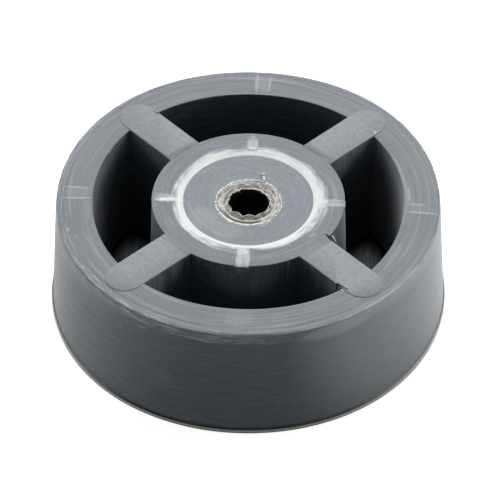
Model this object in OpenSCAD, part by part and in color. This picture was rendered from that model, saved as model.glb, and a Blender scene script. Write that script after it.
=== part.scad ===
// Round foot of hard rubber: a tapered rim and a hub joined by four webs,
// open between the webs, with a short fluted bush let in round the screw hole.
// Millimetres, +Z up, origin at the centre of the face that it stands on.

/* [Rim] */
// Outer diameter at the top edge
rim_d = 60; // [54:0.5:66]
// Height of the rim and the hub
foot_h = 20; // [12:0.5:30]
// Width of the rim's top face
rim_w = 5.7; // [4:0.1:7.5]
// Growth of the outer radius from the top edge to the base
wall_draft = 1; // [0.2:0.1:1.5]
// Growth of the inner walls towards the base, on each side
core_draft = 0.6; // [0.1:0.1:1]
// Radius of the worn top edge
edge_r = 0.4; // [0.2:0.1:1]
// Width of the lower land along the top edge
land_w = 1.6; // [1.2:0.1:2.2]
// Depth of that land below the rim's top face
land_drop = 0.08; // [0.02:0.02:0.2]

/* [Moulding lip] */
// How far the lip stands out from the wall's base
lip_out = 0.35; // [0.1:0.05:0.6]
// Height of the lip
lip_h = 0.7; // [0.3:0.1:1.2]

/* [Hub] */
// Outer diameter of the hub at its top
hub_d = 30.2; // [27:0.2:33]
// Diameter of the flat disc sunk into the hub's top
disc_d = 20.2; // [17:0.2:22]
// Depth of the sunk disc
disc_depth = 0.3; // [0.1:0.05:0.8]
// Width of the sloping ring that leads down to the disc
slope_w = 1.65; // [0.8:0.05:2.2]
// Diameter of the screw hole
bore_d = 6.6; // [5:0.1:7.4]

/* [Webs] */
// Number of webs
web_count = 4; // [4:1:5]
// Width of a web at its top
web_w = 6; // [4:0.2:7]
// Height of the flat pad that runs along each web, above the rim
pad_h = 0.15; // [0.05:0.05:0.5]
// How far a pad reaches in over the hub's edge
pad_lap = 0.2; // [0.1:0.1:1.2]
// How far a pad stays in from the web's edges
pad_inset = 0.05; // [0.02:0.01:0.3]

/* [Gate marks] */
// Width of the trimmed gate marks
gate_w = 2.5; // [1:0.1:4]
// Height of the marks above the rim and the hub
gate_h = 0.06; // [0.02:0.02:0.12]
// Turn of the marks from midway between two webs, in degrees
gate_turn = -2.2; // [-5:0.1:5]

/* [Bush] */
// Outer diameter of the bush
bush_d = 10.3; // [9.4:0.1:12]
// Thickness of the bush
bush_t = 1.6; // [1:0.1:4]
// Width of the flat edge round the bush's top
bush_edge = 0.25; // [0.1:0.05:0.5]
// Depth of the dish that leads into the hole
dish_depth = 0.45; // [0.2:0.05:0.8]
// Number of flutes round the hole
flute_count = 10; // [6:1:16]
// Depth of a flute
flute_depth = 0.3; // [0.1:0.05:0.5]
// Gap between the bush and its seat, all round
bush_gap = 0.05; // [0.02:0.01:0.1]

/* [Hidden] */
$fn = 180;
rim_r = rim_d / 2;
rim_in_r = rim_r - rim_w;
base_r = rim_r + wall_draft;
hub_r = hub_d / 2;
disc_r = disc_d / 2;
bore_r = bore_d / 2;
bush_r = bush_d / 2;
disc_z = foot_h - disc_depth;
seat_z = disc_z - bush_t;
web_step = 360 / web_count;
web_start = web_step / 2;
// the pads end on the line of the rim's lower land
pad_w = web_w - 2 * pad_inset;
pad_end_r = rim_r - land_w - pad_w / 2;
pad_start_r = hub_r - pad_lap;
// the webs run on into the rim and the hub, so that the solids join
web_run_in = 1;
// pads and marks are rooted this deep in the face that carries them
root_h = 0.5;
cut_over = 1;

// Outer radius of the tapered wall at height z
function wall_r(z) = base_r - wall_draft * z / foot_h;

// Section of the rim: base, lip, tapered wall, worn edge, land, top face, inner wall
module rim() {
    arc_step = 15;
    worn_edge = [
        for (a = [0 : arc_step : 90])
            [rim_r - edge_r + edge_r * cos(a), foot_h - land_drop - edge_r + edge_r * sin(a)]
    ];
    rotate_extrude()
        polygon(concat(
            [
                [rim_in_r - core_draft, 0],
                [base_r + lip_out, 0],
                [base_r + lip_out, lip_h],
                [wall_r(lip_h), lip_h]
            ],
            worn_edge,
            [
                [rim_r - land_w, foot_h - land_drop],
                [rim_r - land_w, foot_h],
                [rim_in_r, foot_h]
            ]
        ));
}

// Hub with the sunk disc and the sloping ring round it
module hub() {
    rotate_extrude()
        polygon([
            [0, 0],
            [hub_r + core_draft, 0],
            [hub_r, foot_h],
            [disc_r + slope_w, foot_h],
            [disc_r, disc_z],
            [0, disc_z]
        ]);
}

// One web along +X, wider at its base, from inside the hub to inside the rim
module web() {
    start = disc_r + slope_w + web_run_in;
    translate([start, 0, 0])
        rotate([90, 0, 90])
            linear_extrude(rim_in_r + web_run_in - start)
                polygon([
                    [-web_w / 2 - core_draft, 0],
                    [web_w / 2 + core_draft, 0],
                    [web_w / 2, foot_h],
                    [-web_w / 2, foot_h]
                ]);
}

// Low pad along a web: a round end on the rim, a hollow end round the hub
module pad() {
    translate([0, 0, foot_h - root_h])
        linear_extrude(pad_h + root_h)
            difference() {
                union() {
                    translate([0, -pad_w / 2])
                        square([pad_end_r, pad_w]);
                    translate([pad_end_r, 0])
                        circle(pad_w / 2);
                }
                circle(pad_start_r);
            }
}

// One low mark on a top face
module gate_mark(from_r, to_r) {
    translate([from_r, -gate_w / 2, foot_h - root_h])
        cube([to_r - from_r, gate_w, gate_h + root_h]);
}

// A trimmed gate leaves a mark on the hub and one on the rim, in line
module gate_marks() {
    mark_inset = 0.2;
    gate_mark(disc_r + slope_w, hub_r - mark_inset);
    gate_mark(rim_in_r + mark_inset, rim_r - land_w);
}

module foot_body() {
    color([0.40, 0.42, 0.44])
        difference() {
            union() {
                rim();
                hub();
                for (i = [0 : web_count - 1])
                    rotate(web_start + i * web_step) {
                        web();
                        pad();
                    }
                for (i = [0 : web_count - 1])
                    rotate(gate_turn + i * web_step)
                        gate_marks();
            }
            translate([0, 0, -cut_over])
                cylinder(r = bore_r, h = foot_h + 2 * cut_over);
            translate([0, 0, seat_z])
                cylinder(r = bush_r + bush_gap, h = foot_h);
        }
}

// Outline of the fluted hole: its crests lie on the screw hole's circle
module fluted_outline() {
    steps = 12 * flute_count;
    polygon([
        for (i = [0 : steps - 1])
            let (a = 360 * i / steps, r = bore_r + flute_depth * (1 - cos(flute_count * a)) / 2)
                [r * cos(a), r * sin(a)]
    ]);
}

module bore_bush() {
    color([0.82, 0.81, 0.74])
        translate([0, 0, seat_z])
            difference() {
                cylinder(r = bush_r, h = bush_t);
                translate([0, 0, -cut_over])
                    linear_extrude(bush_t + 2 * cut_over)
                        fluted_outline();
                translate([0, 0, bush_t - dish_depth])
                    cylinder(r1 = bore_r, r2 = bush_r - bush_edge, h = dish_depth);
            }
}

foot_body();
bore_bush();
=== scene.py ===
import math
import random

import bpy
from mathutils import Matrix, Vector, noise


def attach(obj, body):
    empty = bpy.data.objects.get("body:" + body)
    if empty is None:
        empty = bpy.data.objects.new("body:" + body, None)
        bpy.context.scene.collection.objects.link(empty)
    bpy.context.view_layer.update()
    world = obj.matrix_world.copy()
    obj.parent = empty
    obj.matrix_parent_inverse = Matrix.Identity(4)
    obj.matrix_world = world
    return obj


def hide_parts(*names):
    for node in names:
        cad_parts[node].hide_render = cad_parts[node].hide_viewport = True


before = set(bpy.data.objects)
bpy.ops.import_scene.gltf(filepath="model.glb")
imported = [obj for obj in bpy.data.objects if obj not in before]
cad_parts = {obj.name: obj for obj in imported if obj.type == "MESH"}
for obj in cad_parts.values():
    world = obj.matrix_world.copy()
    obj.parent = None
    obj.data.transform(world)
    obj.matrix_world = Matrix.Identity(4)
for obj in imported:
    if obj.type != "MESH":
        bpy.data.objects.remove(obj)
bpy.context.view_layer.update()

mm = 0.001
fullTurn = 2 * math.pi
weld = 0.002 * mm   # points nearer than this are one

print("stage 1: camera, light and floor")

# the view of the photograph: a long lens, 43 degrees above the bench
cameraSettings = {
    "azimuth": 2.2,
    "elevation": 43.5,
    "distance": 600 * mm,
    "lens": 278.5,
    "targetHeight": 20 * mm,
    "aimRight": 0.27 * mm,   # the foot sits a little off the middle of the picture
    "aimDown": 7.98 * mm,
}


def addCamera(settings):
    azimuth = math.radians(settings["azimuth"])
    elevation = math.radians(settings["elevation"])
    back = Vector((
        math.sin(azimuth) * math.cos(elevation),
        -math.cos(azimuth) * math.cos(elevation),
        math.sin(elevation),
    ))
    right = Vector((math.cos(azimuth), math.sin(azimuth), 0))
    up = back.cross(right)
    hub = Vector((0, 0, settings["targetHeight"]))
    place = hub + back * settings["distance"]
    aim = hub + right * settings["aimRight"] - up * settings["aimDown"]
    bpy.ops.object.camera_add(location=place)
    camera = bpy.context.object
    camera.name = "photoCamera"
    camera.data.lens = settings["lens"]
    camera.data.clip_start = 0.01
    camera.data.clip_end = 20
    camera.rotation_mode = "QUATERNION"
    camera.rotation_quaternion = (aim - place).to_track_quat("-Z", "Y")
    bpy.context.scene.camera = camera


addCamera(cameraSettings)

bpy.context.scene.view_settings.view_transform = "Standard"

lampSettings = {
    # name: place, aim, width, height, watts
    "backSoftbox": ((0, 0.62, 0.62), (0, 0, 0.02), 1.0, 0.8, 8.5),
    "leftPanel": ((-0.8, 0.2, 0.3), (0, 0, 0.02), 0.5, 0.5, 1.7),
    "rightPanel": ((0.8, 0.2, 0.3), (0, 0, 0.02), 0.5, 0.5, 2.3),
}


def addLamp(name, place, aim, width, height, watts):
    bpy.ops.object.light_add(type="AREA", location=place)
    lamp = bpy.context.object
    lamp.name = name
    lamp.data.shape = "RECTANGLE"
    lamp.data.size, lamp.data.size_y = width, height
    lamp.data.energy = watts
    lamp.rotation_mode = "QUATERNION"
    lamp.rotation_quaternion = (Vector(aim) - Vector(place)).to_track_quat("-Z", "Y")


for lampName, settings in lampSettings.items():
    addLamp(lampName, *settings)


def addNode(tree, kind, inputs=None, **attributes):
    # an input is a plain value, a socket, or a node whose first output is meant
    node = tree.nodes.new("ShaderNode" + kind)
    for name, value in attributes.items():
        setattr(node, name, value)
    for socket, value in (inputs or {}).items():
        if isinstance(value, bpy.types.Node):
            value = value.outputs[0]
        if isinstance(value, bpy.types.NodeSocket):
            tree.links.new(value, node.inputs[socket])
        else:
            node.inputs[socket].default_value = value
    return node


def linearColour(hexText):
    channels = [int(hexText[i:i + 2], 16) / 255 for i in (1, 3, 5)]
    linear = [c / 12.92 if c <= 0.04045 else ((c + 0.055) / 1.055) ** 2.4 for c in channels]
    return (*linear, 1.0)


def joinMasks(tree, operation, *masks):
    # MULTIPLY: on where all of them are on, MAXIMUM: on where any of them is
    joined = masks[0]
    for mask in masks[1:]:
        joined = addNode(tree, "Math", {0: joined, 1: mask}, operation=operation)
    return joined


def fadeAlong(tree, table, blend):
    # masks by name, each of which rises or falls along one measure: the measure, from, to,
    # and where they aren't 0 and 1, the value before and the value after
    masks = {}
    for name, (measure, start, end, *values) in table.items():
        before, after = values or (0, 1)
        masks[name] = addNode(tree, "MapRange", {"Value": measure, "From Min": start, "From Max": end,
                                                 "To Min": before, "To Max": after}, interpolation_type=blend)
    return masks


worldSettings = {"light": "#ffffff", "strength": 0.22}


def buildWorld(s):
    world = bpy.data.worlds.new("studioWorld")
    bpy.context.scene.world = world
    world.use_nodes = True
    tree = world.node_tree
    tree.nodes.clear()
    path = addNode(tree, "LightPath")
    soft = addNode(tree, "Background", {"Color": linearColour(s["light"]), "Strength": s["strength"]})
    white = addNode(tree, "Background", {"Color": (1, 1, 1, 1), "Strength": 1.0})
    mix = addNode(tree, "MixShader", {0: path.outputs["Is Camera Ray"], 1: soft, 2: white})
    addNode(tree, "OutputWorld", {"Surface": mix})


buildWorld(worldSettings)

floorSettings = {
    "size": 6.0,
    "colour": "#c8c8c6",
    "eyeLift": 0.85,                  # the white that the eye sees on top of the lamps' light
    "glossLift": 0.35,                # what the foot's walls mirror of it
    "backLift": 0.4,                  # more of it lies behind and to both sides, where the sweep is lit
    "backRamp": (-48 * mm, -6 * mm),
    "sideLift": 0.25,
    "sideRamp": (8 * mm, 34 * mm),
    "liftRamp": (30.4 * mm, 31.3 * mm),    # none under the foot, so its openings stay dark
    "shadeColour": "#141416",         # and the paper lies in deep shade there
    "openingGlow": (0.085, 0.12),     # the little that comes back up through the left and right openings
    "glowRamp": (-20 * mm, 20 * mm),
    "glowColour": "#e6eeff",
    "rimFade": (23.6 * mm, 19.4 * mm),    # it dies away towards the rim and towards the webs behind
    "webFade": (5.4 * mm, 13 * mm),
}


def buildFloor(s):
    bpy.ops.mesh.primitive_plane_add(size=s["size"], location=(0, 0, 0))
    floor = bpy.context.object
    floor.name = "benchTop"
    material = bpy.data.materials.new("paperSweep")   # matt white paper: even, no gloss
    material.use_nodes = True
    tree = material.node_tree
    tree.nodes.clear()
    path = addNode(tree, "LightPath")
    where = addNode(tree, "TexCoord").outputs["Object"]
    axes = addNode(tree, "SeparateXYZ", {0: where})
    x, y = axes.outputs["X"], axes.outputs["Y"]
    away = addNode(tree, "VectorMath", {0: where}, operation="LENGTH").outputs["Value"]
    width = addNode(tree, "Math", {0: x}, operation="ABSOLUTE")
    webAway = addNode(tree, "Math", {0: width, 1: y}, operation="SUBTRACT")
    fade = fadeAlong(tree, {
        "outside": (away, *s["liftRamp"]),
        "sideGlow": (x, *s["glowRamp"], *s["openingGlow"]),
    }, "LINEAR")
    fade |= fadeAlong(tree, {
        "behind": (y, *s["backRamp"], s["glossLift"], s["glossLift"] + s["backLift"]),
        "aside": (width, *s["sideRamp"], 0, s["sideLift"]),
        "fromRim": (away, *s["rimFade"]),
        "fromWeb": (webAway, *s["webFade"]),
    }, "SMOOTHSTEP")
    outside = fade["outside"]
    mirrored = addNode(tree, "Math", {0: fade["behind"], 1: fade["aside"]})
    glossOut = joinMasks(tree, "MULTIPLY", mirrored, path.outputs["Is Glossy Ray"])
    bothOut = addNode(tree, "Math", {0: path.outputs["Is Camera Ray"], 1: s["eyeLift"], 2: glossOut},
                      operation="MULTIPLY_ADD")
    outer = joinMasks(tree, "MULTIPLY", bothOut, outside)
    stretched = addNode(tree, "Mapping", {"Vector": where, "Scale": (2200, 250, 1)})
    streaks = addNode(tree, "TexNoise", {"Vector": stretched, "Scale": 1.0, "Detail": 1.0})
    hidden = addNode(tree, "Math", {0: 1.0, 1: outside}, operation="SUBTRACT")
    seenIn = joinMasks(tree, "MULTIPLY", fade["fromRim"], fade["fromWeb"], fade["sideGlow"], streaks, hidden)
    eyeIn = addNode(tree, "Math", {0: seenIn, 1: path.outputs["Is Camera Ray"], 2: outer},
                    operation="MULTIPLY_ADD")
    paper = addNode(tree, "Mix", {0: outside, 6: linearColour(s["shadeColour"]), 7: linearColour(s["colour"])},
                    data_type="RGBA")
    matt = addNode(tree, "BsdfDiffuse", {"Color": paper.outputs[2]})
    glowTone = addNode(tree, "Mix", {0: outside, 6: linearColour(s["glowColour"]), 7: (1, 1, 1, 1)},
                       data_type="RGBA")
    glow = addNode(tree, "Emission", {"Color": glowTone.outputs[2], "Strength": eyeIn})
    both = addNode(tree, "AddShader", {0: matt, 1: glow})
    addNode(tree, "OutputMaterial", {"Surface": both})
    floor.data.materials.append(material)


buildFloor(floorSettings)

print("stage 2: modelling helpers")


def setMode(mode):
    bpy.ops.object.mode_set(mode=mode)


def deselectAll():
    if bpy.context.object and bpy.context.object.mode != "OBJECT":
        setMode("OBJECT")
    bpy.ops.object.select_all(action="DESELECT")


def takeHold(piece):
    deselectAll()
    piece.select_set(True)
    bpy.context.view_layer.objects.active = piece


def selectAll():
    bpy.ops.mesh.select_all(action="SELECT")


def selectWhere(piece, kind, test):
    # leaves the piece in edit mode with only the VERT or EDGE parts selected that pass the test,
    # which gets their points in millimetres
    takeHold(piece)
    setMode("EDIT")
    bpy.ops.mesh.select_mode(type=kind)
    bpy.ops.mesh.select_all(action="DESELECT")
    setMode("OBJECT")
    vertices = piece.data.vertices
    if kind == "VERT":
        for vertex in vertices:
            vertex.select = test(vertex.co / mm)
    else:
        for edge in piece.data.edges:
            edge.select = test(*(vertices[i].co / mm for i in edge.vertices))
    setMode("EDIT")


def applyPlace():
    bpy.ops.object.transform_apply(location=True, rotation=True, scale=True)


def addBar(name, size, centre):
    deselectAll()
    bpy.ops.mesh.primitive_cube_add(size=1 * mm)
    bar = bpy.context.object
    bar.name = name
    bar.scale = size
    placeMesh(bar, 0, centre)
    return bar


def addDisc(name, radius, depth, centre, points):
    deselectAll()
    bpy.ops.mesh.primitive_cylinder_add(vertices=points, radius=radius * mm, depth=depth * mm)
    disc = bpy.context.object
    disc.name = name
    placeMesh(disc, 0, centre)
    return disc


def spinOutline(name, outline, steps):
    # outline: (radius, height) in millimetres, once round the section
    deselectAll()
    radius, height = outline[0]
    bpy.ops.mesh.primitive_plane_add(size=1 * mm)
    piece = bpy.context.object
    piece.name = name
    setMode("EDIT")
    bpy.ops.mesh.merge(type="CENTER")
    bpy.ops.transform.translate(value=(radius * mm, 0, height * mm))
    for nextRadius, nextHeight in [*outline[1:], outline[0]]:
        step = ((nextRadius - radius) * mm, 0, (nextHeight - height) * mm)
        bpy.ops.mesh.extrude_vertices_move(TRANSFORM_OT_translate={"value": step})
        radius, height = nextRadius, nextHeight
    selectAll()
    bpy.ops.mesh.remove_doubles(threshold=weld)
    bpy.ops.mesh.spin(steps=steps, angle=fullTurn, center=(0, 0, 0), axis=(0, 0, 1))
    selectAll()
    bpy.ops.mesh.remove_doubles(threshold=weld)
    bpy.ops.mesh.normals_make_consistent(inside=False)
    setMode("OBJECT")
    return piece


def placeMesh(piece, turn=0.0, move=(0, 0, 0)):
    # moves and turns the mesh itself, so that the object stays at the origin
    takeHold(piece)
    piece.location = Vector(move) * mm
    piece.rotation_euler = (0, 0, math.radians(turn))
    applyPlace()


def copyPiece(piece, name):
    twin = piece.copy()
    twin.data = piece.data.copy()
    twin.name = name
    bpy.context.collection.objects.link(twin)
    return twin


def cutOrJoin(piece, others, operation):
    # one boolean with all the others, which are then deleted
    group = bpy.data.collections.new("operands")
    for other in others:
        group.objects.link(other)
    takeHold(piece)
    boolean = piece.modifiers.new("boolean", "BOOLEAN")
    boolean.operand_type = "COLLECTION"
    boolean.collection = group
    boolean.operation = operation
    boolean.solver = "MANIFOLD"
    bpy.ops.object.modifier_apply(modifier=boolean.name)
    for other in others:
        bpy.data.objects.remove(other)
    bpy.data.collections.remove(group)


def aroundAxis(point):
    return math.hypot(point.x, point.y), math.atan2(point.y, point.x)


def reshape(piece, rule):
    # for forms that no operator gives, such as shrinkage and torn edges: each point moves by the rule
    for vertex in piece.data.vertices:
        vertex.co = rule(vertex.co / mm) * mm
    piece.data.update()


def polar(radius, turn, height=0.0):
    angle = math.radians(turn)
    return (radius * math.cos(angle), radius * math.sin(angle), height)


def ease(value, start, end):
    share = min(1.0, max(0.0, (value - start) / (end - start)))
    return share * share * (3 - 2 * share)


def arc(centre, radius, start, end, steps):
    # points of an arc in the section, angles in degrees
    points = []
    for i in range(steps + 1):
        angle = math.radians(start + (end - start) * i / steps)
        points.append((centre[0] + radius * math.cos(angle), centre[1] + radius * math.sin(angle)))
    return points


def ruledRun(start, end, spacing, depth, dice):
    # a straight run broken into fine tool or mould lines: depth is how far they wander sideways
    run = math.dist(start, end)
    count = max(2, round(run / spacing))
    along = ((end[0] - start[0]) / run, (end[1] - start[1]) / run)
    points = []
    for i in range(1, count):
        share = (i + dice.uniform(-0.3, 0.3)) / count
        aside = dice.uniform(-depth, depth)
        points.append((start[0] + along[0] * run * share - along[1] * aside,
                       start[1] + along[1] * run * share + along[0] * aside))
    return points


print("stage 3: the foot's body")

footSettings = {
    # millimetres
    "topRadius": 30.0,
    "baseRadius": 31.0,
    "height": 20.0,
    "rimWidth": 5.7,
    "coreDraft": 0.6,
    "wornEdge": 0.4,
    "landWidth": 1.6,
    "landDrop": 0.05,
    "lipOut": 0.25,
    "lipHeight": 0.75,
    "hubRadius": 15.0,
    "discRadius": 10.1,
    "discDepth": 0.3,
    "slopeWidth": 1.65,
    "boreRadius": 3.3,
    "webWidth": 6.0,
    "padRise": 0.09,
    "padInset": 0.05,
    "padEnd": 25.45,
    "padStart": 14.8,
    "padRunOut": 1.4,
    "padRoot": 0.5,
    "padEdge": 0.07,
    "webEdge": 0.04,
    "webRunIn": 1,           # the webs run on into the hub and the rim, so that all of it joins
    "markRoot": 0.6,
    "markCorner": 0.5,
    "edgeRound": 0.12,
    "slitHeight": 2.4,
    "slitEnd": 0.25,         # share of its width that a nick has left at its end
    # fine lines left by the lathe on the top and by the mould on the walls
    "turningSpacing": 0.2,
    "turningDepth": 0.012,
    "mouldSpacing": 0.55,
    "mouldDepth": 0.012,
    "innerSpacing": 2.0,
    "spinSteps": 288,
    "seed": 11,
    # the rim has shrunk inwards between the webs
    "shrink": 0.16,
    "edgeWander": 0.05,
    # the seat that the bush is pressed into, a little off the axis
    "seatRadius": 4.62,
    "seatFloor": 18.1,
    "seatMouth": 0.3,
    "seatWider": 0.36,
    "mouthFlare": ((0.16, -0.12), (0.34, -0.01), (0.5, 0.3)),    # out from the seat, up from the disc
    "flareClosed": 0.95,     # share of the flare that is left out where the bush's torn edge covers it
    "seatShift": (0.1, -0.46),
}

gateMarks = [
    # from radius, to radius, from turn, to turn (degrees), rise, how much lighter than the face it is
    (11.2, 14.3, 85.5, 92.8, 0.03, 0.35),
    (24.7, 28.3, 84.1, 89.8, 0.02, 0.2),
    (11.2, 14.9, 175.0, 184.6, 0.05, 0.3),
    (24.5, 28.3, 176.2, 182.0, 0.02, 0.16),
    (10.6, 15.2, 262.9, 274.2, 0.08, 0.75),
    (24.5, 28.3, 264.9, 273.2, 0.02, 0.14),
    (11.6, 15.1, 353.4, 361.4, 0.03, 0.35),
    (24.6, 28.3, 354.8, 360.1, 0.02, 0.12),
]

slits = [
    # from radius and turn, to radius and turn, width: nicks torn at the webs' corners
    (25.1, 129.1, 24.0, 128.5, 0.26),
    (25.3, -50.7, 22.9, -52.3, 0.36),
    (14.3, -31.4, 15.9, -33.6, 0.6),
]


def buildRim(s, dice):
    height, edge, small = s["height"], s["wornEdge"], s["edgeRound"]
    topRadius, lipHeight = s["topRadius"], s["lipHeight"]
    innerTop = topRadius - s["rimWidth"]
    innerBase = innerTop - s["coreDraft"]
    lipInner = s["baseRadius"] + s["lipOut"] - small
    landRadius = topRadius - s["landWidth"]
    landHeight = height - s["landDrop"]
    wallStart = (s["baseRadius"] - 0.02, lipHeight + 0.05)
    wallEnd = (topRadius, landHeight - edge)
    landStart = (topRadius - edge, landHeight)
    topStart = (landRadius - 0.04, height)
    turning = (s["turningSpacing"], s["turningDepth"], dice)
    outline = [
        (innerBase, small), (innerBase + small, 0.0),
        *arc((lipInner, small), small, -90, 0, 3),
        *arc((lipInner, lipHeight - small), small, 0, 90, 3),
        wallStart,
        *ruledRun(wallStart, wallEnd, s["mouldSpacing"], s["mouldDepth"], dice),
        *arc((topRadius - edge, landHeight - edge), edge, 0, 90, 6),
        *ruledRun(landStart, (landRadius + 0.1, landHeight), *turning),
        (landRadius + 0.12, landHeight), topStart,
        *ruledRun(topStart, (innerTop + small, height), *turning),
        *arc((innerTop + small, height - small), small, 90, 180, 3),
        *ruledRun((innerTop, height - small), (innerBase, small), s["innerSpacing"], s["mouldDepth"], dice),
    ]
    return spinOutline("rim", outline, s["spinSteps"])


def buildHub(s, dice):
    height, small, bore, disc = s["height"], s["edgeRound"], s["boreRadius"], s["discRadius"]
    discHeight = height - s["discDepth"]
    hubTop = s["hubRadius"] - small
    hubBase = s["hubRadius"] + s["coreDraft"]
    slopeTop = disc + s["slopeWidth"]
    # both ends of the slope are worn round
    slopeStart, slopeOn = (slopeTop + 0.15, height), (slopeTop - 0.1, height - 0.02)
    slopeOff = (disc + 0.1, discHeight + 0.03)
    turning = (s["turningSpacing"], s["turningDepth"], dice)
    outline = [
        (bore, 0.0), (hubBase - small, 0.0), (hubBase, small),
        *arc((hubTop, height - small), small, 0, 90, 3),
        *ruledRun((hubTop, height), slopeStart, *turning),
        slopeStart, slopeOn,
        *ruledRun(slopeOn, slopeOff, s["turningSpacing"], 0.5 * s["turningDepth"], dice),
        (disc, discHeight),
        *ruledRun((disc, discHeight), (bore, discHeight), *turning),
        (bore, discHeight),
    ]
    return spinOutline("hub", outline, s["spinSteps"])


def buildWeb(s):
    # a bar from inside the hub to inside the rim, wider at its foot
    start = s["discRadius"] + s["slopeWidth"] + s["webRunIn"]
    end = s["topRadius"] - s["rimWidth"] + s["webRunIn"]
    middle = (start + end) / 2
    web = addBar("web", (end - start, s["webWidth"], s["height"]), (middle, 0, s["height"] / 2))
    selectWhere(web, "VERT", lambda p: p.z < 1)
    spread = 1 + 2 * s["coreDraft"] / s["webWidth"]
    bpy.ops.transform.resize(value=(1, spread, 1), center_override=(middle * mm, 0, 0))
    selectWhere(web, "EDGE", lambda a, b: min(a.z, b.z) > s["height"] - 1 and abs(a.y - b.y) < 0.1)
    bpy.ops.mesh.bevel(offset=s["webEdge"] * mm, segments=2)
    setMode("OBJECT")
    return web


def buildPad(s):
    # the low pad on a web: a disc drawn out along the web, hollow and run out flat where it meets the hub
    rise = s["padRise"]
    depth = rise + s["padRoot"]
    top = s["height"] + rise
    half = s["webWidth"] / 2 - s["padInset"]
    pad = addDisc("pad", half, depth, (s["padEnd"], 0, top - depth / 2), 96)
    selectWhere(pad, "VERT", lambda p: p.x < s["padEnd"] - 0.01)
    bpy.ops.transform.translate(value=((s["discRadius"] - s["padEnd"]) * mm, 0, 0))
    setMode("OBJECT")
    cutOrJoin(pad, [addDisc("hollow", s["padStart"], 4, (0, 0, top), s["spinSteps"])], "DIFFERENCE")
    selectWhere(pad, "EDGE", lambda a, b: min(a.z, b.z) > top - 0.01)
    bpy.ops.mesh.bevel(offset=s["padEdge"] * mm, segments=2)
    selectAll()
    level = s["padStart"] + s["padRunOut"]
    bpy.ops.mesh.bisect(plane_co=(level * mm, 0, 0), plane_no=(1, 0, 0))
    setMode("OBJECT")

    def runOut(point):
        if point.z > s["height"] - 0.2 and point.x < level - 0.1:
            point.z -= rise - 0.01
        return point

    reshape(pad, runOut)
    return pad


def buildGateMark(s, fromRadius, toRadius, fromTurn, toTurn, rise):
    # a low soft mound where a gate was trimmed off
    radius = (fromRadius + toRadius) / 2
    width = math.radians(toTurn - fromTurn) * radius
    root = s["markRoot"]
    mark = addBar("gateMark", (toRadius - fromRadius, width, root), (radius, 0, s["height"] - root / 2))
    selectWhere(mark, "EDGE", lambda a, b: abs(a.z - b.z) > 0.1)
    bpy.ops.mesh.bevel(offset=s["markCorner"] * mm, segments=5)
    setMode("OBJECT")
    selectWhere(mark, "VERT", lambda p: p.z > s["height"] - 0.01)
    # up in two steps, a share of the rise each, and narrower with each
    for step, narrowing in ((0.6, (0.93, 0.9, 1)), (0.4, (0.9, 0.82, 1))):
        bpy.ops.mesh.extrude_region_move(TRANSFORM_OT_translate={"value": (0, 0, step * rise * mm)})
        bpy.ops.transform.resize(value=narrowing, center_override=(radius * mm, 0, 0))
    setMode("OBJECT")
    placeMesh(mark, (fromTurn + toTurn) / 2)
    return mark


def buildSlit(s, fromRadius, fromTurn, toRadius, toTurn, width):
    # a wedge that narrows to its end, to be cut out
    start = Vector(polar(fromRadius, fromTurn))
    end = Vector(polar(toRadius, toTurn))
    run = (end - start).length
    slit = addBar("slit", (run, width, s["slitHeight"]), (run / 2, 0, s["height"]))
    selectWhere(slit, "VERT", lambda p: p.x < 0.1)
    bpy.ops.transform.resize(value=(1, s["slitEnd"], 1))
    setMode("OBJECT")
    placeMesh(slit, math.degrees(math.atan2(end.y - start.y, end.x - start.x)), start)
    return slit


def seatSpread(turn):
    # the seat is wider at the sides and the back, where the bush's torn edge covers its mouth
    return ease(math.sin(turn + 0.3), -0.85, -0.4)


def buildSeatCutter(s):
    # the seat for the bush, with a torn mouth that flares a little
    disc = s["height"] - s["discDepth"]
    seat, floor = s["seatRadius"], s["seatFloor"]
    flared = [(seat + out, disc + up) for out, up in s["mouthFlare"]]
    outline = [(0.01, floor), (seat, floor), (seat, disc - s["seatMouth"]), *flared, (0.01, flared[-1][1])]
    cutter = spinOutline("seatCutter", outline, 120)
    shiftX, shiftY = s["seatShift"]

    def spread(point):
        radius, turn = aroundAxis(point)
        wide = seatSpread(turn) * ease(radius, 1, 4)
        flare = max(0.0, radius - seat)
        scale = (radius + s["seatWider"] * wide - s["flareClosed"] * flare * wide) / max(radius, 0.001)
        return Vector((point.x * scale + shiftX, point.y * scale + shiftY, point.z))

    reshape(cutter, spread)
    return cutter


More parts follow.
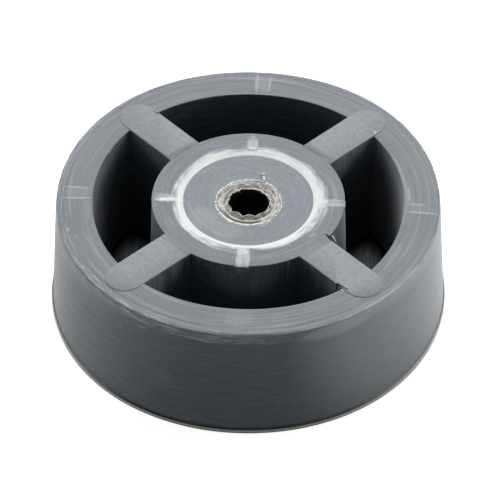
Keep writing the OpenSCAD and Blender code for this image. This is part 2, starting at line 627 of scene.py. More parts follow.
def buildBody(s):
    dice = random.Random(s["seed"])
    body = buildRim(s, dice)
    hub = buildHub(s, dice)
    web = buildWeb(s)
    pad = buildPad(s)
    others = [hub, web, pad]
    for turn in (45, 135, 225):
        for model in (web, pad):
            twin = copyPiece(model, "twin")
            placeMesh(twin, turn)
            others.append(twin)
    for model in (web, pad):
        placeMesh(model, 315)
    others += [buildGateMark(s, *mark) for *mark, _ in gateMarks]
    cutOrJoin(body, others, "UNION")
    cuts = [buildSlit(s, *slit) for slit in slits]
    cuts.append(buildSeatCutter(s))
    cutOrJoin(body, cuts, "DIFFERENCE")
    body.name = "footBody"
    # the booleans leave a few points in a row, which would be faces without area
    setMode("EDIT")
    selectAll()
    bpy.ops.mesh.dissolve_degenerate(threshold=weld)
    setMode("OBJECT")

    # the radii between which the shrinkage grows, and those of the worn edge and the lip
    hubEnd, rimStart = 16, 24
    edgeStart, edgeFull, lipStart = 28.9, 29.7, 30.9

    def wear(point):
        radius, turn = aroundAxis(point)
        if radius < hubEnd:
            return point
        moved = s["shrink"] * ease(radius, hubEnd, rimStart) * math.cos(4 * (turn - fullTurn / 8))
        moved *= 0.5 + 0.5 * point.z / s["height"]
        if radius > edgeStart and point.z > s["height"] - 1:
            moved -= s["edgeWander"] * (1 + noise.noise(point * 0.45)) * ease(radius, edgeStart, edgeFull)
        if radius > lipStart and point.z < 1:
            moved -= 0.5 * s["edgeWander"] * (1 + noise.noise(point * 0.6))
        scale = (radius + moved) / radius
        return Vector((point.x * scale, point.y * scale, point.z))

    reshape(body, wear)
    takeHold(body)
    bpy.ops.object.shade_smooth_by_angle(angle=math.radians(28))
    return body


footBody = buildBody(footSettings)
print("   faces:", len(footBody.data.polygons))

print("stage 4: the bush")

bushSettings = {
    # millimetres
    "outerRadius": 4.52,
    "holeRadius": 3.4,
    "flutes": 10,
    "fluteDepth": 0.55,
    "fluteTurn": -86.5,      # degrees, where one flute's crest stands at the front
    "foot": 18.12,
    "crest": 19.62,          # the fluted edge round the hole, highest at the front
    "crestTilt": 0.2,
    "line": 19.42,           # the fine raised line near the outside
    "lineRadius": 4.0,
    "groove": 19.0,
    "tornHeight": 19.77,     # at the sides and the back its outside is torn and stands higher
    "highest": 19.8,
    "ridgeSpacing": 0.36,
    "frontRough": 0.12,      # share of the roughness that is left at the clean front
    "wider": 0.36,
    "overhang": 0.09,        # how far the torn edge reaches past the seat's wall
    "fineSpacing": 0.06,
    "holeSpacing": 0.2,
    "tear": 0.17,            # how rough the cut is there
    "steps": 360,
}


def buildBush(s, shift):
    hole, outside, foot, crest = s["holeRadius"], s["outerRadius"], s["foot"], s["crest"]
    groove, line, lineRadius = s["groove"], s["line"], s["lineRadius"]
    grooveStart, grooveEnd = (outside - 0.03, groove), (lineRadius + 0.16, groove + 0.15)
    bandStart, bandEnd = (lineRadius - 0.14, line - 0.1), (hole + 0.12, crest - 0.03)
    holeTop = (hole, crest - 0.05)
    # no wander: the points are there for the tear to move
    outline = [
        (hole, foot), (outside, foot), (outside, groove - 0.2), grooveStart,
        *ruledRun(grooveStart, grooveEnd, s["fineSpacing"], 0.0, random.Random(2)),
        grooveEnd, (lineRadius + 0.08, line - 0.06), (lineRadius, line), (lineRadius - 0.08, line - 0.03),
        bandStart, *ruledRun(bandStart, bandEnd, s["fineSpacing"], 0.0, random.Random(3)), bandEnd,
        (hole + 0.05, crest), holeTop,
        *ruledRun(holeTop, (hole, foot), s["holeSpacing"], 0.0, random.Random(4)),
    ]
    bush = spinOutline("boreBush", outline, s["steps"])
    spread = s["wider"] + s["overhang"]

    def tear(point):
        radius, turn = aroundAxis(point)
        inner = 1 - ease(radius, hole + 0.08, hole + 0.7)
        outer = ease(radius, lineRadius + 0.05, lineRadius + 0.2)
        top = ease(point.z, 18.8, 19.0)
        behind = seatSpread(turn)
        rough = s["frontRough"] + (1 - s["frontRough"]) * behind
        ring = Vector((3.2 * math.cos(turn), 3.2 * math.sin(turn), 0.6 * radius + 0.5 * point.z))
        fine = noise.noise(ring * 2.2) + 0.35 * noise.noise(ring * 5 + Vector((7, 3, 1)))
        ridges = math.sin(fullTurn * radius / s["ridgeSpacing"] + 2.2 * noise.noise(ring * 0.9))
        flute = abs(math.cos(s["flutes"] / 2 * (turn - math.radians(s["fluteTurn"]))))
        newRadius = radius - s["fluteDepth"] * (flute * (1 - 0.75 * behind) + 0.2 * behind) * inner
        newRadius += 0.6 * s["tear"] * fine * rough * top * (0.4 + inner)
        height = point.z - s["crestTilt"] * math.sin(turn) * inner * top
        height += outer * top * behind * (s["tornHeight"] - s["groove"] - 0.1)
        height += s["tear"] * rough * top * (fine + 0.5 * ridges * (1 - inner))
        scale = min(newRadius + spread * behind * outer, outside + spread) / radius
        return Vector((point.x * scale + shift[0], point.y * scale + shift[1], min(height, s["highest"])))

    reshape(bush, tear)
    takeHold(bush)
    bpy.ops.object.shade_smooth_by_angle(angle=math.radians(40))
    return bush


boreBush = buildBush(bushSettings, footSettings["seatShift"])
print("   faces:", len(boreBush.data.polygons))

print("stage 5: burrs")

burrs = [
    # radius, turn, height, length, width, thickness, lean (degrees)
    (24.6, -52.7, 20.02, 0.5, 0.28, 0.14, 20),
    (25.2, -51.0, 20.03, 0.34, 0.2, 0.1, 70),
    (15.9, -31.6, 19.9, 0.6, 0.22, 0.2, -20),
    (15.5, -30.6, 19.97, 0.5, 0.2, 0.1, 20),
    (16.3, -32.4, 19.85, 0.5, 0.16, 0.2, -35),
    (30.02, 19.3, 19.75, 0.4, 0.12, 0.2, 90),
    (29.95, -36.0, 19.75, 0.3, 0.12, 0.16, 90),
    (27.9, -160.0, 20.0, 0.35, 0.14, 0.08, 80),
    (29.6, -141.0, 19.85, 0.42, 0.14, 0.12, 95),
    (29.85, -124.0, 19.7, 0.36, 0.14, 0.12, 85),
    (24.2, 156.0, 19.95, 0.3, 0.12, 0.1, 90),
    (8.6, 78.5, 19.71, 0.16, 0.12, 0.06, 0),
    (5.75, -171.7, 19.66, 0.24, 0.14, 0.1, 50),
    (5.2, 168.0, 19.6, 0.3, 0.16, 0.14, 20),
]

hair = {
    # a fine sliver of rubber left standing by the bush, with a cross piece at its tip
    "foot": (4.7, 59.0),
    "tip": (6.1, 69.8),
    "height": 19.78,
    "width": 0.4,
    "cross": 0.75,
}


def buildFlake(name, length, width, thickness, lean, place):
    deselectAll()
    bpy.ops.mesh.primitive_ico_sphere_add(subdivisions=2, radius=0.5 * mm)
    flake = bpy.context.object
    flake.name = name
    flake.scale = (length, width, thickness)
    bpy.ops.object.transform_apply(location=False, rotation=False, scale=True)
    reshape(flake, lambda p: p * (1 + 0.5 * noise.noise(p * 6 + Vector(place))))
    placeMesh(flake, lean, place)
    return flake


def buildBurrs():
    pieces = []
    for radius, turn, height, length, width, thickness, lean in burrs:
        pieces.append(buildFlake("burr", length, width, thickness, turn + lean, polar(radius, turn, height)))
    foot = Vector(polar(*hair["foot"], hair["height"]))
    tip = Vector(polar(*hair["tip"], hair["height"]))
    lean = math.degrees(math.atan2(tip.y - foot.y, tip.x - foot.x))
    pieces.append(buildFlake("hair", (tip - foot).length * 1.1, hair["width"], 0.2, lean, (foot + tip) / 2))
    pieces.append(buildFlake("hairTip", hair["cross"], 0.36, 0.26, lean + 96, tip + Vector((0, 0, 0.06))))
    takeHold(pieces[0])
    for piece in pieces:
        piece.select_set(True)
    bpy.ops.object.join()
    joined = bpy.context.object
    joined.name = "burrs"
    bpy.ops.object.shade_smooth()
    return joined


rubberBurrs = buildBurrs()

print("stage 6: materials")

rubberSettings = {
    # sRGB, as a plain light gives them back
    "wall": "#272e34",
    "wallStreak": "#4b555c",
    "turned": "#7e8489",
    "turnedDark": "#61676c",
    # the pale of turning lines, also used for painted light on the land at the right front
    "turnedLineAndLight": "#9ca1a5",
    "padTone": "#8b9195",
    "whitened": "#eef1ef",
    "gate": "#c8cdd1",
    "seam": "#555b60",
    "fleck": "#4b545b",
    # painted shade: near black for the rubber down in the bore
    "bore": "#14110e",
    "scuff": "#c0c6ca",
    "khaki": "#8f8b7e",
    "lip": "#cfc8b8",
    # painted highlight: a pale tone for the lip's outer face
    "shine": "#a3adb6",
    # painted sheen for the outer wall's sides and right
    "paintedSheen": "#868c91",
    # bloom and painted light for the upper parts of the inner walls
    "bloomAndTopLight": "#67717a",
    # smears, and a painted reflection on the hub's front wall
    "smearAndReflection": "#8b949c",
    "roughness": 0.45,
    "turnedRoughness": 0.55,
    "haze": (0.25, 0.6),
    "hazeRoughness": 0.35,
    "disc": "#868c92",
    # millimetres
    "linesPerMm": 3.0,      # turning lines, drawn a little coarser than real so that they show
    "mouldPerMm": 2.6,      # coarser than real too
    "ringStart": 10.12,
    "ringEnd": 11.9,
    "bumpDepth": 0.025,
}


def newMaterial(name):
    material = bpy.data.materials.new(name)
    material.use_nodes = True
    tree = material.node_tree
    tree.nodes.clear()
    shader = addNode(tree, "BsdfPrincipled")
    addNode(tree, "OutputMaterial", {"Surface": shader})
    return material, tree, shader


def readPlace(tree, shift=(0, 0)):
    # the point in millimetres from the shifted axis, its radius, its height, how far down the section
    # it lies, a vector that runs round the axis without a seam, and the parts of that vector
    where = addNode(tree, "TexCoord").outputs["Object"]
    place = addNode(tree, "VectorMath", {0: where, "Scale": 1000.0}, operation="SCALE")
    place = addNode(tree, "VectorMath", {0: place, 1: (*shift, 0)}, operation="SUBTRACT").outputs[0]
    flat = addNode(tree, "VectorMath", {0: place, 1: (1, 1, 0)}, operation="MULTIPLY")
    radius = addNode(tree, "VectorMath", {0: flat}, operation="LENGTH").outputs["Value"]
    height = addNode(tree, "SeparateXYZ", {0: place}).outputs["Z"]
    down = addNode(tree, "Math", {0: radius, 1: height}, operation="SUBTRACT").outputs[0]
    parts = addNode(tree, "SeparateXYZ", {0: addNode(tree, "VectorMath", {0: flat}, operation="NORMALIZE")})
    ring = addNode(tree, "CombineXYZ", {"X": parts.outputs["X"], "Y": parts.outputs["Y"], "Z": down})
    return place, radius, height, down, ring.outputs[0], parts


def facingUp(tree):
    # 1 on level faces, 0 on upright ones
    normal = addNode(tree, "NewGeometry").outputs["Normal"]
    return addNode(tree, "SeparateXYZ", {0: normal}).outputs["Z"]


def band(tree, value, start, end, soft):
    # 1 between start and end, with soft edges
    half = soft / 2
    fade = fadeAlong(tree, {"rise": (value, start - half, start + half),
                            "fall": (value, end - half, end + half, 1, 0)}, "SMOOTHSTEP")
    return joinMasks(tree, "MULTIPLY", fade["rise"], fade["fall"])


def grain(tree, vector, scale, low, high, top=1.0, detail=2.0, shift=0.0):
    # noise stretched by the scale, cut off below low and full above high
    stretched = addNode(tree, "Mapping", {"Vector": vector, "Location": (shift, shift, 0), "Scale": scale})
    cloud = addNode(tree, "TexNoise", {"Vector": stretched, "Scale": 1.0, "Detail": detail, "Roughness": 0.6})
    return addNode(tree, "MapRange", {"Value": cloud, "From Min": low, "From Max": high, "To Max": top})


def stains(tree, place, spots):
    # spots: centre, turn in degrees, half sizes, share of the size that is edge, strength
    masks = []
    for centre, turn, size, edge, strength in spots:
        local = addNode(tree, "Mapping", {"Vector": place, "Location": centre, "Scale": size,
                                          "Rotation": (0, 0, math.radians(turn))}, vector_type="TEXTURE")
        glow = addNode(tree, "TexGradient", {"Vector": local}, gradient_type="SPHERICAL")
        masks.append(addNode(tree, "MapRange",
                             {"Value": glow.outputs["Fac"], "From Max": edge, "To Max": strength},
                             interpolation_type="SMOOTHSTEP"))
    return joinMasks(tree, "MAXIMUM", *masks)


def layOver(tree, tone, layers):
    # each layer: the masks that it needs all of, and its colour
    for masks, colour in layers:
        share = joinMasks(tree, "MULTIPLY", *masks)
        tone = addNode(tree, "Mix", {0: share, 6: tone, 7: linearColour(colour)}, data_type="RGBA").outputs[2]
    return tone


gateStreaks = [
    # from radius, to radius, turn, half width, strength, tone
    (10.2, 13.7, 86.6, 0.32, 0.75, "gate"),
    (10.6, 13.6, 91.2, 0.34, 0.7, "gate"),
    (10.8, 14.8, 88.9, 0.18, 0.4, "gate"),
    (10.3, 11.8, 88.6, 0.5, 0.6, "whitened"),
    (24.4, 29.6, 89.2, 0.24, 0.4, "gate"),
    (24.7, 28.8, 84.8, 0.16, 0.4, "gate"),
    (10.2, 14.5, 182.8, 0.36, 1.0, "whitened"),
    (11.0, 14.2, 179.4, 0.14, 0.6, "gate"),
    (11.6, 15.0, 175.9, 0.1, 0.8, "seam"),
    (24.3, 29.3, 181.8, 0.17, 0.5, "gate"),
    (24.6, 28.8, 176.6, 0.22, 0.32, "gate"),
    (10.9, 12.8, 268.0, 0.75, 0.5, "whitened"),
    (12.6, 15.3, 266.6, 0.4, 0.6, "gate"),
    (12.0, 15.2, 271.6, 0.3, 0.5, "gate"),
    (11.2, 15.0, 263.4, 0.08, 0.4, "seam"),
    (11.2, 15.0, 274.0, 0.08, 0.3, "seam"),
    (24.5, 28.6, 265.4, 0.1, 0.08, "gate"),
    (24.6, 28.8, 272.8, 0.1, 0.08, "gate"),
    (10.9, 12.4, -1.0, 0.45, 0.7, "whitened"),
    (11.2, 12.2, -5.6, 0.34, 0.6, "whitened"),
    (11.8, 15.0, -3.8, 0.36, 0.5, "gate"),
    (12.0, 14.8, 0.2, 0.2, 0.35, "gate"),
    (24.5, 29.9, -4.6, 0.16, 0.55, "gate"),
    (24.8, 27.4, -0.8, 0.2, 0.3, "gate"),
]


def gateSpots():
    # the dull light patch that each gate mark is
    spots = []
    for fromRadius, toRadius, fromTurn, toTurn, _, shine in gateMarks:
        radius = (fromRadius + toRadius) / 2
        length = (toRadius - fromRadius) / 2 + 0.25
        turn = (fromTurn + toTurn) / 2
        width = math.radians(toTurn - fromTurn) * radius / 2
        spots.append((polar(radius, turn, 20), turn, (length * 1.2, width * 1.3, 3), 0.7, shine))
    return spots


def streakSpots(tone):
    spots = []
    for fromRadius, toRadius, turn, halfWidth, strength, streakTone in gateStreaks:
        if streakTone == tone:
            half = (toRadius - fromRadius) / 2
            centre = polar((fromRadius + toRadius) / 2, turn, 20)
            spots.append((centre, turn, (1.3 * half, 1.7 * halfWidth, 3), 0.6, strength))
    return spots


scuffs = [
    # radius, turn, height, half length, half width, half depth, lean from the radius, strength:
    # scratches, chips and pale patches on the land, the top edge and the wall, and two pale patches on the disc
    (25.1, 39.2, 20.1, 0.5, 0.3, 1, 40, 0.9),
    (29.0, -141, 19.9, 1.4, 0.14, 1, 92, 0.5),
    (29.4, -150, 19.9, 2.2, 0.12, 1, 91, 0.35),
    (28.7, -158, 19.9, 2.6, 0.11, 1, 89, 0.25),
    (29.5, -128, 19.9, 1.8, 0.13, 1, 90, 0.6),
    (29.7, -115, 19.8, 2.4, 0.12, 1, 90, 0.6),
    (29.2, -97, 19.9, 1.0, 0.09, 1, 90, 0.4),
    (28.9, -82, 19.9, 1.2, 0.09, 1, 90, 0.35),
    (29.6, -70, 19.9, 2.0, 0.1, 1, 90, 0.5),
    (30.2, -112, 18.3, 2.4, 0.5, 0.07, 90, 0.35),
    (30.2, -104, 18.8, 2.0, 0.5, 0.07, 90, 0.3),
    (30.3, -120, 17.6, 1.6, 0.5, 0.3, 92, 0.25),
    (30.2, -90, 18.9, 1.2, 0.5, 0.1, 90, 0.4),
    (30.2, -84, 19.0, 0.9, 0.5, 0.1, 90, 0.4),
    (30.6, -78, 9.0, 0.2, 0.5, 0.12, 90, 0.4),
    (30.6, -66, 5.0, 0.2, 0.5, 0.12, 90, 0.5),
    (7.8, 212, 19.7, 2.8, 3.8, 1, 0, 0.2),
    (7.6, 243, 19.7, 2.8, 3.6, 1, 0, 0.16),
    (30.3, -150, 18.4, 2.6, 0.5, 0.07, 91, 0.4),
    (30.3, -143, 17.8, 1.6, 0.5, 0.06, 90, 0.3),
    (30.3, -136, 18.7, 2.6, 0.5, 0.07, 89, 0.4),
    (30.3, -131, 18.1, 1.8, 0.5, 0.06, 91, 0.35),
    (30.4, -125, 17.4, 1.6, 0.5, 0.06, 90, 0.3),
    (30.2, -121, 18.9, 2.2, 0.5, 0.07, 90, 0.45),
    (30.3, -158, 17.6, 1.6, 0.5, 0.3, 90, 0.4),
    (30.3, -99, 18.5, 1.4, 0.5, 0.06, 90, 0.3),
    (29.3, -147, 19.9, 0.35, 0.16, 1, 80, 0.95),
    (29.75, -126, 19.8, 0.5, 0.16, 1, 92, 0.95),
    (29.7, -119, 19.8, 0.4, 0.15, 1, 88, 0.9),
    (28.6, -164, 19.9, 0.5, 0.16, 1, 85, 0.8),
    (28.2, -171, 19.9, 1.2, 0.12, 1, 88, 0.25),
    (29.6, 24, 19.9, 0.5, 0.12, 1, 90, 0.6),
    (29.8, -22, 19.8, 1.2, 0.1, 1, 90, 0.5),
    (29.8, -40, 19.8, 1.6, 0.12, 1, 90, 0.45),
    (30.0, -57, 19.75, 3.2, 0.45, 0.5, 90, 0.35),
    (30.0, -48, 19.75, 3.2, 0.45, 0.5, 90, 0.5),
    (30.0, -39, 19.75, 3.2, 0.45, 0.5, 90, 0.5),
    (30.0, -30, 19.75, 3.2, 0.45, 0.5, 90, 0.5),
    (30.0, -21, 19.75, 3.2, 0.45, 0.5, 90, 0.4),
    (30.2, -62, 18.6, 8, 2.0, 1.6, 90, 0.3),
    (29.8, -58, 19.8, 1.2, 0.12, 1, 90, 0.45),
    (25.0, 4, 20.0, 0.3, 2.4, 1, 0, 0.45),
    (12.8, -37, 20.0, 0.8, 0.5, 1, 90, 0.25),
    (6.0, -62, 19.7, 1.6, 0.35, 1, 95, 0.3),
]


def dressRubber(s, seatShift):
    # hard nitrile rubber, moulded and then turned on top: the moulded walls are near black with a dull
    # sheen, the turned faces are pale grey with fine rings, and stretched or scuffed rubber goes white
    material, tree, shader = newMaterial("mouldedNitrileRubber")
    place, radius, height, down, ring, parts = readPlace(tree)
    x, y = parts.outputs["X"], parts.outputs["Y"]
    across = addNode(tree, "Math", {0: x}, operation="ABSOLUTE")
    rightward = addNode(tree, "VectorMath", {0: ring, 1: polar(1, -40)}, operation="DOT_PRODUCT").outputs["Value"]
    fade = fadeAlong(tree, {
        "up": (facingUp(tree), 0.12, 0.6),
        "high": (height, 19.2, 19.5),
        "lineDepth": (radius, 9.8, 10.4, 0.4, 0.95),
        "mouldRight": (x, 0.1, 0.6, 1, 0.35),
        "landAside": (across, 0.35, 0.75, 0, 0.8),
        "inner": (radius, 24.9, 24.6),
        "bloomLightBack": (y, 0.55, 0.85, 1, 0.15),      # hardly any of it at the back
        "onHub": (radius, 16.0, 15.8),
        "farSide": (y, -0.1, 0.4, 0.06, 1),
        "onPad": (height, 20.045, 20.075),
        "padFade": (radius, 24.5, 28.0, 1, 0.45),
        "rimOnly": (radius, 28.0, 28.1),
        "landLeft": (x, -0.3, -0.75, 0, 0.5),
        "landRight": (rightward, 0.9, 1.0, 0, 0.25),
        "underLand": (down, 9.6, 9.8),
        "onDisc": (radius, 10.2, 9.8, 0, 0.75),
        "ringSlant": (y, -1.0, 0.2, 0.22, 0),
        "ringIn": (radius, s["ringStart"] - 0.08, s["ringStart"] + 0.1),
        "front": (y, -0.35, -0.8),
        "leftFront": (x, 0.3, 0.0),
        "leftSide": (x, -0.1, -0.5),
        "sheenRight": (x, -0.4, 0.4, 0.5, 1),
        "sheenReach": (x, -0.3, 0.6, 7, 38),       # millimetres down the wall
        "lipAside": (across, 0.55, 0.85, 0, 0.8),
        "lipOuter": (radius, 31.0, 31.06),
        "seatHigh": (height, 19.3, 19.55),
        "boreShade": (radius, 3.9, 3.7),
    }, "LINEAR")
    fade |= fadeAlong(tree, {
        "bloomLightHigh": (height, 13.5, 20.0),
        # the inner walls catch the light on the left and the right, more the nearer to the top
        "facing": (across, 0.72, 0.96),
        "rimLit": (height, 13.5, 19.6, 0, 0.75),
        "hubLit": (height, 4.0, 18.0, 0, 0.4),
        # paler under the land's edge at the right front
        "paleDepth": (down, 13.4, 10.0),
        "paleTurn": (rightward, 0.86, 0.98, 0, 0.45),
        "sides": (y, -0.97, -0.6, 0.12, 1),
        "rightSide": (x, 0.12, 0.6),
        # the dusty bloom of old rubber, more of it on the right
        "haze": (x, 0.0, 0.6, *s["haze"]),
    }, "SMOOTHSTEP")
    rimOnly = fade["rimOnly"]
    turned = joinMasks(tree, "MULTIPLY", fade["up"], fade["high"])
    wobble = addNode(tree, "TexNoise", {"Vector": place, "Scale": 2.4, "Detail": 2.0})
    shaken = addNode(tree, "VectorMath", {0: wobble.outputs["Color"], "Scale": 0.4}, operation="SCALE")
    frayed = addNode(tree, "VectorMath", {0: place, 1: shaken}).outputs[0]
    frayed = addNode(tree, "VectorMath", {0: frayed, 1: (0.2, 0.2, 0.2)}, operation="SUBTRACT").outputs[0]

    fineLines = grain(tree, ring, (2.6, 2.6, s["linesPerMm"]), 0.34, 0.66, detail=3.0)
    mouldLines = grain(tree, ring, (7.0, 7.0, s["mouldPerMm"]), 0.38, 0.72, detail=3.0, shift=9.0)
    mouldLines = joinMasks(tree, "MULTIPLY", mouldLines, fade["mouldRight"])
    standing = grain(tree, place, (3.0, 3.0, 0.12), 0.35, 0.8, detail=2.0, shift=2.0)
    standingSoft = addNode(tree, "MapRange", {"Value": standing, "To Min": 0.55, "To Max": 1.0})
    rimLit = joinMasks(tree, "MULTIPLY", fade["rimLit"], fade["farSide"])
    lit = addNode(tree, "Mix", {0: fade["onHub"], 2: rimLit, 3: fade["hubLit"]}, data_type="FLOAT")
    # smears on the web walls, and in the last spot a painted reflection on the hub's front wall
    smearsAndReflection = stains(tree, frayed, [
        ((14.5, 10.2, 19.0), 45, (2.8, 0.9, 4.6), 0.7, 1.0),
        ((16.8, 12.6, 19.6), 45, (2.6, 0.9, 2.8), 0.7, 0.7),
        ((-13.6, -17.9, 18.5), 45, (3.0, 0.9, 5.6), 0.7, 0.95),
        ((-10.6, -14.9, 18.8), 45, (1.8, 0.9, 3.4), 0.7, 0.6),
        ((13.8, -17.9, 19.0), -45, (2.4, 0.9, 3.4), 0.7, 0.5),
        ((0.0, -15.1, 17.5), 0, (8.5, 1.6, 5.5), 0.8, 0.55),
    ])

    onLand = joinMasks(tree, "MULTIPLY", band(tree, down, 8.5, 9.75, 0.15), rimOnly)
    landLines = [band(tree, down, start, end, 0.06)
                 for start, end in ((7.86, 7.94), (8.36, 8.46), (8.98, 9.06), (9.36, 9.42))]

    # the whitened ring round the disc, with a ragged outer edge
    whiteEdge = grain(tree, ring, (1.4, 1.4, 0.8), 0.3, 0.7, 1.5, detail=3.0, shift=3.0)
    ringReach = addNode(tree, "Math", {0: radius, 1: whiteEdge}, operation="SUBTRACT")
    ringReach = addNode(tree, "Math", {0: ringReach, 1: fade["ringSlant"]})
    ringOut = addNode(tree, "MapRange",
                      {"Value": ringReach, "From Min": s["ringEnd"] - 1.5, "From Max": s["ringEnd"] - 0.4,
                       "To Min": 1.0, "To Max": 0.0}, interpolation_type="SMOOTHSTEP")
    ringLines = addNode(tree, "MapRange", {"Value": fineLines, "To Min": 0.8, "To Max": 1.0})

    lumps = grain(tree, place, (2.4, 2.4, 2.4), 0.32, 0.62, detail=4.0, shift=13.0)
    lumps = addNode(tree, "MapRange", {"Value": lumps, "To Min": 0.3, "To Max": 1.05})
    lumpsSoft = addNode(tree, "MapRange", {"Value": lumps, "To Min": 0.6, "To Max": 1.0})
    streakLayers = [((stains(tree, frayed, streakSpots(tone)), lumpsSoft), s[tone])
                    for tone in ("gate", "whitened", "seam")]
    scuffSpots = [(polar(away, turn, top), turn + lean, (length, width, depth), 0.6, strength)
                  for away, turn, top, length, width, depth, lean, strength in scuffs]

    # pale lines that sway a little along the rim's left edge
    wavy = addNode(tree, "TexNoise", {"Vector": addNode(tree, "Mapping", {"Vector": ring, "Scale": (5, 5, 0)}),
                                      "Scale": 1.0, "Detail": 2.0})
    swayed = addNode(tree, "Math", {0: wavy, 1: 0.9, 2: down}, operation="MULTIPLY_ADD")
    leftLines = [band(tree, swayed, 9.92, 10.1, 0.14), band(tree, swayed, 9.3, 9.42, 0.12)]
    atFront = (fade["front"], fade["leftFront"], rimOnly)
    frontBand = band(tree, down, 9.75, 11.8, 0.6)

    # painted sheen: the outer wall is painted paler from the edge down, at the sides and the right, further down
    # on the right
    wallStreakNoise = grain(tree, ring, (6.0, 6.0, 4.5), -0.9, 0.6, detail=3.0, shift=11.0)
    belowEdge = addNode(tree, "Math", {0: down, 1: 9.9}, operation="SUBTRACT")
    sheenDepth = addNode(tree, "Math", {0: belowEdge, 1: fade["sheenReach"]}, operation="DIVIDE")
    paintedSheen = addNode(tree, "MapRange", {"Value": sheenDepth, "From Min": 1.0, "From Max": 0.0},
                     interpolation_type="SMOOTHSTEP")

    lipSide = joinMasks(tree, "MULTIPLY", band(tree, height, 0.1, 1.0, 0.1), fade["lipAside"])
    seatMouth = addNode(tree, "VectorMath", {0: frayed, 1: (*seatShift, 0)}, operation="SUBTRACT")
    seatMouth = addNode(tree, "VectorMath", {0: seatMouth, 1: (1, 1, 0)}, operation="MULTIPLY")
    seatAway = addNode(tree, "VectorMath", {0: seatMouth}, operation="LENGTH").outputs["Value"]
    ragged = addNode(tree, "TexNoise", {"Vector": place, "Scale": 2.2, "Detail": 2.0})
    seatAway = addNode(tree, "Math", {0: ragged, 1: 0.9, 2: seatAway}, operation="MULTIPLY_ADD")
    patchy = grain(tree, place, (1.6, 1.6, 1.6), 0.3, 0.55, detail=2.0, shift=15.0)
    patchy = addNode(tree, "MapRange", {"Value": patchy, "To Min": 0.55, "To Max": 0.95})

    tone = layOver(tree, linearColour(s["wall"]), [
        ((mouldLines,), s["wallStreak"]),
        ((grain(tree, place, (4.5, 4.5, 4.5), 0.48, 0.7, 0.85, detail=2.0, shift=27.0),), s["fleck"]),
        # bloom and painted light: the inner walls are paler near the top, fading with depth, with hardly any at
        # the back
        ((fade["inner"], fade["bloomLightHigh"], standing, fade["bloomLightBack"]), s["bloomAndTopLight"]),
        ((lit, fade["facing"], fade["inner"], standingSoft), s["shine"]),
        ((smearsAndReflection, standingSoft), s["smearAndReflection"]),
        # painted sheen: paler outer wall at the sides and on the right
        ((paintedSheen, wallStreakNoise, joinMasks(tree, "MAXIMUM", fade["sides"], fade["rightSide"]),
          fade["sheenRight"], rimOnly), s["paintedSheen"]),
        ((turned,), s["turned"]),
        ((turned, grain(tree, place, (0.16, 0.16, 0.16), 0.3, 0.75, 0.5, detail=3.0)), s["turnedDark"]),
        ((turned, fade["onDisc"]), s["disc"]),
        ((onLand, fade["landLeft"]), s["turnedDark"]),
        # painted light: the land is painted paler towards the right front
        ((onLand, fade["landRight"]), s["turnedLineAndLight"]),
        ((turned, fineLines, fade["lineDepth"]), s["turnedDark"]),
        ((turned, grain(tree, ring, (2.2, 2.2, 4.0), 0.6, 0.7, 0.5, detail=2.0, shift=21.0), fade["lineDepth"]),
         s["seam"]),
        ((turned, grain(tree, ring, (1.6, 1.6, 1.7), 0.6, 0.72, 0.5, detail=1.0, shift=5.0)), s["turnedLineAndLight"]),
        ((turned, joinMasks(tree, "MAXIMUM", *landLines), fade["landAside"],
          grain(tree, ring, (5, 5, 3), 0.42, 0.62, 0.35, shift=31.0)), s["scuff"]),
        ((fade["onPad"], fade["padFade"]), s["padTone"]),
        ((fade["onPad"], grain(tree, place, (1.1, 1.1, 1.1), 0.42, 0.78, 0.55, detail=4.0, shift=6.0)),
         s["turnedDark"]),
        ((turned, grain(tree, place, (5, 5, 5), 0.35, 0.75, 0.45, detail=1.0)), s["turnedLineAndLight"]),
        ((fade["ringIn"], ringOut, ringLines, fade["high"]), s["whitened"]),
        ((stains(tree, frayed, gateSpots()), lumps), s["gate"]),
        *streakLayers,
        ((band(tree, down, 10.05, 11.6, 0.5), *atFront,
          grain(tree, ring, (8.0, 8.0, 4.5), 0.44, 0.62, 0.75, detail=3.0, shift=7.0)), s["khaki"]),
        ((frontBand, *atFront, grain(tree, ring, (3.0, 3.0, 6.0), 0.52, 0.62, 0.9, detail=2.0, shift=41.0)),
         s["wall"]),
        ((frontBand, *atFront, grain(tree, ring, (9, 9, 8.0), 0.51, 0.62, 0.85, detail=4.0, shift=37.0)),
         s["scuff"]),
        ((band(tree, down, 9.72, 9.98, 0.2), rimOnly,
          grain(tree, ring, (11, 11, 3), 0.42, 0.62, 0.85, detail=4.0, shift=1.0)), s["scuff"]),
        ((joinMasks(tree, "MAXIMUM", *leftLines), fade["leftSide"], rimOnly,
          grain(tree, ring, (10, 10, 0.5), 0.38, 0.62, 0.42, shift=17.0)), s["scuff"]),
        ((stains(tree, frayed, scuffSpots),), s["scuff"]),
        ((fade["paleDepth"], fade["paleTurn"], fade["underLand"], rimOnly, wallStreakNoise), s["scuff"]),
        ((band(tree, seatAway, 4.9, 5.62, 0.25), patchy, fade["seatHigh"]), s["whitened"]),
        # painted highlight: the lip's outer face is painted pale, over a taller band at the sides
        ((joinMasks(tree, "MAXIMUM", band(tree, height, 0.28, 0.64, 0.1), lipSide), fade["lipOuter"]), s["lip"]),
        # painted shade: the rubber in the bore is painted near black
        ((fade["boreShade"],), s["bore"]),
    ])
    tree.links.new(tone, shader.inputs["Base Color"])
    rough = addNode(tree, "MapRange", {"Value": turned, "To Min": s["roughness"], "To Max": s["turnedRoughness"]})
    tree.links.new(rough.outputs[0], shader.inputs["Roughness"])
    shader.inputs["IOR"].default_value = 1.52
    shader.inputs["Specular Tint"].default_value = linearColour("#f0f6ff")
    tree.links.new(fade["haze"].outputs[0], shader.inputs["Sheen Weight"])
    shader.inputs["Sheen Roughness"].default_value = s["hazeRoughness"]
    shader.inputs["Sheen Tint"].default_value = linearColour("#f4f8ff")
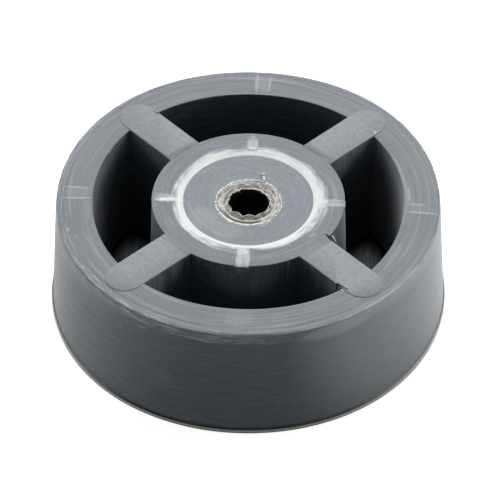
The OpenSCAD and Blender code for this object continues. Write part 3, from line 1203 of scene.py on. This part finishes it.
    softMould = addNode(tree, "Math", {0: mouldLines, 1: 0.45}, operation="MULTIPLY")
    relief = addNode(tree, "Mix", {0: turned, 2: softMould, 3: fineLines}, data_type="FLOAT")
    offPad = addNode(tree, "Math", {0: 1.0, 1: fade["onPad"]}, operation="SUBTRACT")
    bump = addNode(tree, "Bump", {"Strength": 1.0, "Distance": s["bumpDepth"] * mm,
                                  "Height": joinMasks(tree, "MULTIPLY", relief, offPad)})
    tree.links.new(bump.outputs[0], shader.inputs["Normal"])
    return material


nylonSettings = {
    "ivory": "#bfbeb5",
    "khaki": "#8a8775",
    "cream": "#eeeee8",
    "brown": "#4d4840",
    "grime": "#7f7d70",
    "torn": "#dcdcd6",
    # painted shade for the hole's wall
    "hole": "#1b1713",
    "roughness": 0.5,
}


def dressNylon(s, shift, fluteCount, fluteTurn, fluteDepth, holeRadius):
    # natural nylon, cut rough: ivory, with pale torn edges and brown dirt in the grooves; painted shade makes it
    # brown further down and near black in the hole
    material, tree, shader = newMaterial("cutNaturalNylon")
    place, radius, height, _, _, parts = readPlace(tree, shift)
    x, y = parts.outputs["X"], parts.outputs["Y"]
    ring = addNode(tree, "CombineXYZ", {"X": x, "Y": y, "Z": radius})
    fade = fadeAlong(tree, {
        "upright": (facingUp(tree), 0.35, 0.1),
        "inHole": (radius, 3.55, 3.45),
        "tornOut": (radius, 3.9, 4.6, 0.35, 1),
        "deep": (height, 19.25, 18.95),
    }, "LINEAR")
    front = fadeAlong(tree, {"front": (y, -0.45, -0.8)}, "SMOOTHSTEP")["front"]
    behind = addNode(tree, "Math", {0: 1.0, 1: front}, operation="SUBTRACT")
    calm = addNode(tree, "MapRange", {"Value": behind, "To Min": 0.3, "To Max": 1.0})
    pale = grain(tree, ring, (2.6, 2.6, 6.5), 0.48, 0.6, 0.8, detail=3.0, shift=4.0)
    pale = joinMasks(tree, "MULTIPLY", pale, calm)
    lineFront = addNode(tree, "MapRange", {"Value": front, "To Min": 0.2, "To Max": 1.0})
    # the scalloped edge of the hole follows the flutes
    turn = addNode(tree, "Math", {0: y, 1: x}, operation="ARCTAN2")
    half = 0.5 * fluteCount
    swung = addNode(tree, "Math", {0: turn, 1: half, 2: -half * math.radians(fluteTurn)}, operation="MULTIPLY_ADD")
    waved = addNode(tree, "Math", {0: swung}, operation="COSINE")
    flute = addNode(tree, "Math", {0: waved}, operation="ABSOLUTE")
    pastEdge = addNode(tree, "Math", {0: flute, 1: fluteDepth, 2: radius}, operation="MULTIPLY_ADD")
    tick = stains(tree, place, [((-0.22, -3.76, 19.4), 86, (0.42, 0.09, 1), 0.6, 1.0)])
    tone = layOver(tree, linearColour(s["ivory"]), [
        ((grain(tree, place, (2.6, 2.6, 2.6), 0.42, 0.62, 0.75, detail=4.0, shift=8.0), behind), s["grime"]),
        # painted shade: khaki on the front of the band round the hole, which lies in shade
        ((band(tree, radius, 2.5, 3.9, 0.1), front), s["khaki"]),
        ((tick,), s["cream"]),
        ((pale,), s["cream"]),
        ((grain(tree, place, (3.0, 3.0, 3.0), 0.34, 0.54, 0.9, detail=4.0, shift=19.0), fade["tornOut"], behind),
         s["torn"]),
        ((grain(tree, ring, (2.0, 2.0, 5.5), 0.5, 0.64, 0.9, detail=3.0), behind), s["brown"]),
        ((band(tree, radius, 3.92, 4.1, 0.08), lineFront), s["cream"]),
        # painted shade: brown further down, in the groove and the lower parts
        ((fade["deep"],), s["brown"]),
        # painted highlight: a cream line along the scalloped edge of the hole
        ((band(tree, pastEdge, holeRadius - 0.1, holeRadius + 0.13, 0.06),), s["cream"]),
        # painted shade: the hole's upright wall is painted near black
        ((fade["upright"], fade["inHole"]), s["hole"]),
    ])
    tree.links.new(tone, shader.inputs["Base Color"])
    shader.inputs["Roughness"].default_value = s["roughness"]
    shader.inputs["IOR"].default_value = 1.53
    bump = addNode(tree, "Bump", {"Strength": 0.8, "Distance": 0.05 * mm, "Height": pale})
    tree.links.new(bump.outputs[0], shader.inputs["Normal"])
    return material


def dressBurr():
    # torn rubber goes white where it is stretched
    material, tree, shader = newMaterial("tornNitrileRubber")
    where = addNode(tree, "TexCoord").outputs["Object"]
    cloud = grain(tree, where, (4000, 4000, 4000), 0.3, 0.7)
    tone = addNode(tree, "Mix",
                   {0: cloud, 6: linearColour("#b0b4b6"), 7: linearColour("#eceeeb")}, data_type="RGBA")
    tree.links.new(tone.outputs[2], shader.inputs["Base Color"])
    shader.inputs["Roughness"].default_value = 0.6
    return material


def dress(piece, material):
    piece.data.materials.clear()
    piece.data.materials.append(material)
    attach(piece, "root")


dress(footBody, dressRubber(rubberSettings, footSettings["seatShift"]))
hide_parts("foot_body")
dress(rubberBurrs, dressBurr())
bushNylon = dressNylon(nylonSettings, footSettings["seatShift"], bushSettings["flutes"], bushSettings["fluteTurn"],
                       bushSettings["fluteDepth"], bushSettings["holeRadius"])
dress(boreBush, bushNylon)
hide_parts("bore_bush")
